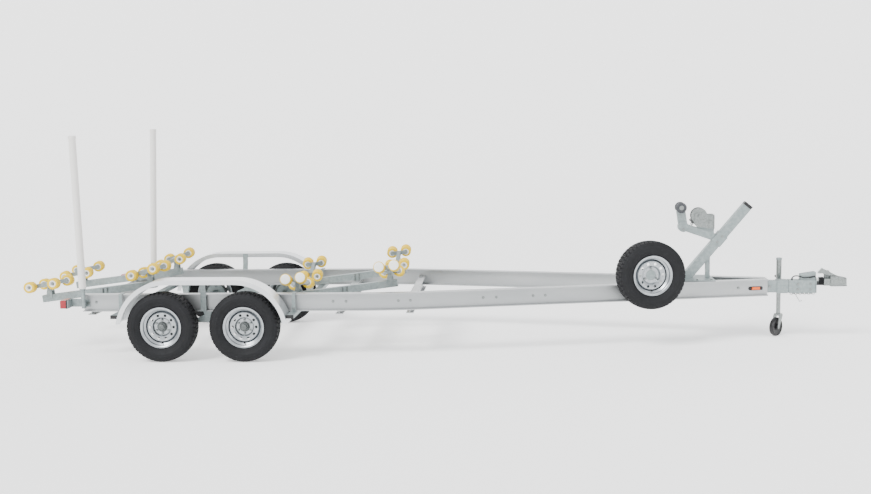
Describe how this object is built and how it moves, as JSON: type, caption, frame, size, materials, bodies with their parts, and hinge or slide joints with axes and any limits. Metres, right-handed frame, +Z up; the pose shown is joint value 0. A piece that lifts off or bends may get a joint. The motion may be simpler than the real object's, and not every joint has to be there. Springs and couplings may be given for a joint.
{
  "type": "boat trailer",
  "caption": "Tandem-axle aluminium boat trailer with roller cradles, guide posts, winch stand, spare wheel and jack.",
  "frame": {"origin": "centre of the bounding box's footprint on the floor", "axes": "+X forward to the coupler, +Y to the trailer's left, +Z up"},
  "size_m": [8.7606, 2.604, 2.331],
  "materials": {
    "rail_aluminium": "mill finish, satin",
    "fender_aluminium": "smooth satin sheet",
    "galvanised_steel": "hot-dip galvanised, matte",
    "spring_steel": "dark painted leaves, matte",
    "rim_steel": "galvanised wheel, satin",
    "tyre": "matte rubber",
    "white_plastic": "smooth white sleeve",
    "black_plastic": "matte",
    "roller_rubber": "amber, half matte",
    "grey_rubber": "dark grey, half matte",
    "hose_rubber": "smooth black hose",
    "webbing": "woven polyester",
    "red_lens": "clear crimson lens",
    "amber_lens": "clear amber lens",
    "zinc_steel": "zinc plated, half bright"
  },
  "bodies": {
    "frame": {"rail_right": "rail_aluminium", "rail_left": "rail_aluminium", "crossmembers": "rail_aluminium", "axles": "galvanised_steel", "leaf_springs": "spring_steel", "spring_hangers": "galvanised_steel", "fender_left": "fender_aluminium", "fender_right": "fender_aluminium", "fender_supports": "galvanised_steel", "guide_posts": "white_plastic", "rear_brackets": "galvanised_steel", "tail_lamps": "red_lens", "side_markers": "amber_lens", "cradle_arms": "galvanised_steel", "tongue": "galvanised_steel", "coupler_case": "galvanised_steel", "brake_hose": "hose_rubber", "safety_chain": "zinc_steel", "winch_post": "galvanised_steel", "post_cap": "black_plastic", "winch_arm": "galvanised_steel", "winch_frame": "zinc_steel", "strap_tail": "webbing", "spare_carrier": "galvanised_steel", "spare_tyre": "tyre", "spare_rim": "rim_steel"},
    "wheel_rear_right": {"tyre_rear_right": "tyre", "rim_rear_right": "rim_steel"},
    "wheel_front_right": {"tyre_front_right": "tyre", "rim_front_right": "rim_steel"},
    "wheel_rear_left": {"tyre_rear_left": "tyre", "rim_rear_left": "rim_steel"},
    "wheel_front_left": {"tyre_front_left": "tyre", "rim_front_left": "rim_steel"},
    "cradle_rear_back_right": {"cradle_rear_back_right": "galvanised_steel", "rollers_rear_back_right": "roller_rubber"},
    "cradle_rear_fore_right": {"cradle_rear_fore_right": "galvanised_steel", "rollers_rear_fore_right": "roller_rubber"},
    "cradle_front_back_right": {"cradle_front_back_right": "galvanised_steel", "rollers_front_back_right": "roller_rubber"},
    "cradle_front_fore_right": {"cradle_front_fore_right": "galvanised_steel", "rollers_front_fore_right": "roller_rubber"},
    "cradle_rear_back_left": {"cradle_rear_back_left": "galvanised_steel", "rollers_rear_back_left": "roller_rubber"},
    "cradle_rear_fore_left": {"cradle_rear_fore_left": "galvanised_steel", "rollers_rear_fore_left": "roller_rubber"},
    "cradle_front_back_left": {"cradle_front_back_left": "galvanised_steel", "rollers_front_back_left": "roller_rubber"},
    "cradle_front_fore_left": {"cradle_front_fore_left": "galvanised_steel", "rollers_front_fore_left": "roller_rubber"},
    "coupler": {"coupler": "zinc_steel", "coupler_latch": "black_plastic"},
    "winch_drum": {"winch_drum": "zinc_steel", "strap_roll": "webbing"},
    "winch_crank": {"winch_crank": "zinc_steel"},
    "bow_roller": {"bow_roller": "grey_rubber"},
    "jack": {"jack_tube": "zinc_steel", "jack_crank": "zinc_steel"},
    "jack_leg": {"jack_inner": "zinc_steel"},
    "caster": {"caster_fork": "zinc_steel"},
    "caster_wheel": {"caster_wheel": "black_plastic"}
  },
  "joints": [
    {"name": "wheel_spin_rear_right", "type": "hinge", "parent": "frame", "child": "wheel_rear_right", "pos_m": [-2.77867, -1.175, 0.357], "axis": [0, 1, 0], "continuous": true},
    {"name": "wheel_spin_front_right", "type": "hinge", "parent": "frame", "child": "wheel_front_right", "pos_m": [-1.92867, -1.175, 0.357], "axis": [0, 1, 0], "continuous": true},
    {"name": "wheel_spin_rear_left", "type": "hinge", "parent": "frame", "child": "wheel_rear_left", "pos_m": [-2.77867, 1.175, 0.357], "axis": [0, 1, 0], "continuous": true},
    {"name": "wheel_spin_front_left", "type": "hinge", "parent": "frame", "child": "wheel_front_left", "pos_m": [-1.92867, 1.175, 0.357], "axis": [0, 1, 0], "continuous": true},
    {"name": "rock_rear_back_right", "type": "hinge", "parent": "frame", "child": "cradle_rear_back_right", "pos_m": [-4.17867, -0.528, 0.64024], "axis": [0, 1, 0], "range_deg": [-10, 10]},
    {"name": "rock_rear_fore_right", "type": "hinge", "parent": "frame", "child": "cradle_rear_fore_right", "pos_m": [-3.07567, -0.528, 0.77958], "axis": [0, 1, 0], "range_deg": [-10, 10]},
    {"name": "rock_front_back_right", "type": "hinge", "parent": "frame", "child": "cradle_front_back_right", "pos_m": [-1.48767, -0.528, 0.65375], "axis": [0, 1, 0], "range_deg": [-10, 10]},
    {"name": "rock_front_fore_right", "type": "hinge", "parent": "frame", "child": "cradle_front_fore_right", "pos_m": [-0.50367, -0.528, 0.77806], "axis": [0, 1, 0], "range_deg": [-10, 10]},
    {"name": "rock_rear_back_left", "type": "hinge", "parent": "frame", "child": "cradle_rear_back_left", "pos_m": [-4.17867, 0.528, 0.64024], "axis": [0, 1, 0], "range_deg": [-10, 10]},
    {"name": "rock_rear_fore_left", "type": "hinge", "parent": "frame", "child": "cradle_rear_fore_left", "pos_m": [-3.07567, 0.528, 0.77958], "axis": [0, 1, 0], "range_deg": [-10, 10]},
    {"name": "rock_front_back_left", "type": "hinge", "parent": "frame", "child": "cradle_front_back_left", "pos_m": [-1.48767, 0.528, 0.65375], "axis": [0, 1, 0], "range_deg": [-10, 10]},
    {"name": "rock_front_fore_left", "type": "hinge", "parent": "frame", "child": "cradle_front_fore_left", "pos_m": [-0.50367, 0.528, 0.77806], "axis": [0, 1, 0], "range_deg": [-10, 10]},
    {"name": "coupler_surge", "type": "slide", "parent": "frame", "child": "coupler", "axis": [1, 0, 0], "range_m": [-0.022, 0]},
    {"name": "winch_drum_spin", "type": "hinge", "parent": "frame", "child": "winch_drum", "pos_m": [2.79233, 0, 1.349], "axis": [0, 1, 0], "continuous": true},
    {"name": "winch_crank_spin", "type": "hinge", "parent": "frame", "child": "winch_crank", "pos_m": [2.90833, 0, 1.286], "axis": [0, 1, 0], "continuous": true},
    {"name": "bow_roller_spin", "type": "hinge", "parent": "frame", "child": "bow_roller", "pos_m": [2.60133, 0, 1.437], "axis": [0, 1, 0], "continuous": true},
    {"name": "jack_swivel", "type": "hinge", "parent": "frame", "child": "jack", "pos_m": [3.69833, 0.069, 0.5775], "axis": [0, 1, 0], "range_deg": [-90, 0]},
    {"name": "jack_extend", "type": "slide", "parent": "jack", "child": "jack_leg", "axis": [0, 0, 1], "range_m": [0, 0.22]},
    {"name": "caster_swivel", "type": "hinge", "parent": "jack_leg", "child": "caster", "pos_m": [3.69833, 0.216, 0.204], "axis": [0, 0, 1], "continuous": true},
    {"name": "caster_spin", "type": "hinge", "parent": "caster", "child": "caster_wheel", "pos_m": [3.66888, 0.1833, 0.102], "axis": [-0.7431, 0.6691, 0], "continuous": true}
  ],
  "couplings": [
    {"joint": "winch_crank_spin", "follows": "winch_drum_spin", "ratio": -4}
  ]
}
